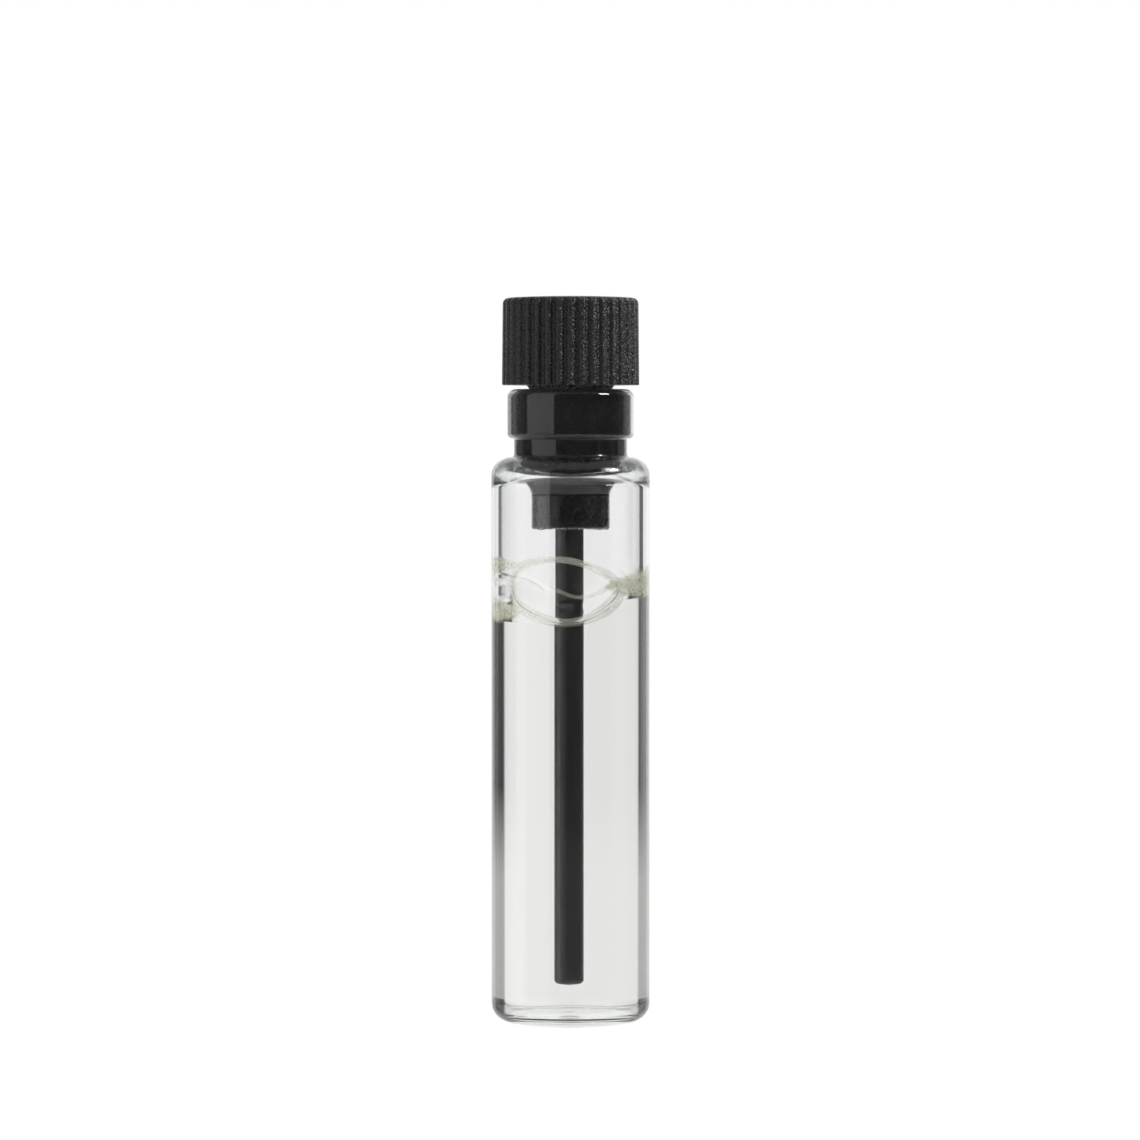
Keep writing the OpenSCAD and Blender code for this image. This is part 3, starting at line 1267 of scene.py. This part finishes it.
    def light(self) -> None:
        """Sets the light round the vial, with plain white behind everything that the camera sees."""
        world = bpy.data.worlds.new("studio")
        bpy.context.scene.world = world
        world.use_nodes = True
        world.node_tree.nodes.clear()
        graph = Graph(world.node_tree)
        direction = graph.add("ShaderNodeSeparateXYZ")
        graph.put(direction.inputs["Vector"], graph.add("ShaderNodeTexCoord").outputs["Generated"])
        rise = direction.outputs["Z"]
        share = self.turn_share(graph, direction)
        path = graph.add("ShaderNodeLightPath")
        around = graph.blend(
            path.outputs["Is Transmission Ray"],
            self.horizon(graph, share, self.mirrored),
            self.horizon(graph, share, self.through),
        )
        above = graph.spread(rise, *self.overhead_rise)
        shown, mirrored = [self.grey(level) for level in self.overhead]
        lit = graph.blend(above, around, graph.blend(path.outputs["Is Transmission Ray"], mirrored, shown))
        below = graph.spread(rise, *self.edge_rise)
        lit = graph.blend(below, lit, self.horizon(graph, share, self.floor_through))
        under = graph.spread(rise, *self.floor_rise)
        lit = graph.blend(under, lit, self.grey(self.floor_glow))
        scattered = graph.calc("MINIMUM", path.outputs["Diffuse Depth"], 1.0)
        inside = graph.calc("MULTIPLY", scattered, path.outputs["Is Transmission Ray"])
        lit = graph.blend(inside, lit, self.horizon(graph, share, self.inside))
        shine = graph.add("ShaderNodeBackground")
        graph.put(shine.inputs["Color"], graph.blend(path.outputs["Is Camera Ray"], lit, self.grey(1.0)))
        graph.put(shine.inputs["Strength"], self.peak)
        graph.put(graph.add("ShaderNodeOutputWorld").inputs["Surface"], shine.outputs["Background"])

    def set_up(self) -> None:
        """Sets camera, floor, light and how light is carried through clear pieces."""
        self.place_camera()
        self.lay_floor()
        self.hang_lamp()
        self.light()
        scene = bpy.context.scene
        scene.view_settings.view_transform = "Standard"
        scene.cycles.max_bounces = self.bounces
        scene.cycles.transmission_bounces = self.bounces
        scene.cycles.glossy_bounces = self.mirror_bounces


def main() -> None:
    """Loads the frame, builds and dresses the pieces in order and sets up the studio."""
    logging.basicConfig(level=logging.INFO, format="%(name)s: %(message)s")
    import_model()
    glass_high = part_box("glass_vial")[1]
    stopper_low, stopper_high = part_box("stopper")

    vial = GlassVial(outer_r=glass_high.y / MM, mouth_z=glass_high.z / MM)
    glass = vial.build()
    vial.dress(
        glass,
        GlassFinish("clear_glass", GLASS_IOR, absorb_colour=(0.72, 0.8, 0.76), absorb_density=60.0),
    )
    LOG.info("glass body: %d faces", len(glass.data.polygons))

    moulding = Stopper(
        tip_z=stopper_low.z / MM,
        cap_top=stopper_high.z / MM,
        cap_r=stopper_high.y / MM,
        pressed=(vial.collar_z, vial.mouth_z),
    )
    stopper = moulding.build()
    moulding.dress(
        stopper,
        MouldedFinish("black_pitted"),
        # Painted light: the pressed plug's tone is raised to the grey that the lip shows over it
        MouldedFinish(
            "black_pressed_painted_light",
            dark=(0.010, 0.010, 0.010),
            light=(0.015, 0.015, 0.014),
            pit_depth=0.003,
            shine=0.04,
        ),
        # Painted shade: the plug below the bore is set far darker than the rest of the same black moulding
        MouldedFinish(
            "black_satin_painted_shade",
            dark=(0.001, 0.001, 0.001),
            light=(0.003, 0.003, 0.003),
            smooth_to_rough=(0.22, 0.32),
            pits_per_metre=3500.0,
            pit_depth=0.003,
            shine=1.0,
            flash_z=moulding.plug_z,
        ),
        MouldedFinish(
            "black_smooth",
            dark=(0.013, 0.013, 0.013),
            light=(0.014, 0.014, 0.014),
            smooth_to_rough=(0.2, 0.26),
            pits_per_metre=4000.0,
            pit_depth=0.0005,
            shine=1.0,
        ),
    )
    LOG.info("stopper: %d faces", len(stopper.data.polygons))

    sample = Liquid(vial, GLASS_IOR)
    body, clinging = sample.build()
    sample.dress(
        body,
        clinging,
        ClearFinish("clear_liquid", LIQUID_IOR, tint=(0.99, 0.99, 0.97)),
        ClearFinish("liquid_surface", SURFACE_IOR),
        {
            Cling.CLEAR: ClearFinish("clear_bead", LIQUID_IOR),
            Cling.MILKY: MilkFinish("milky_film", (0.56, 0.56, 0.43), (0.68, 0.68, 0.55)),
            Cling.WHITE: MilkFinish("white_bubble", (0.88, 0.88, 0.86), (0.97, 0.97, 0.95)),
        },
    )
    LOG.info("liquid: %d faces", len(body.data.polygons))

    Studio().set_up()


if __name__ == "__main__":
    main()
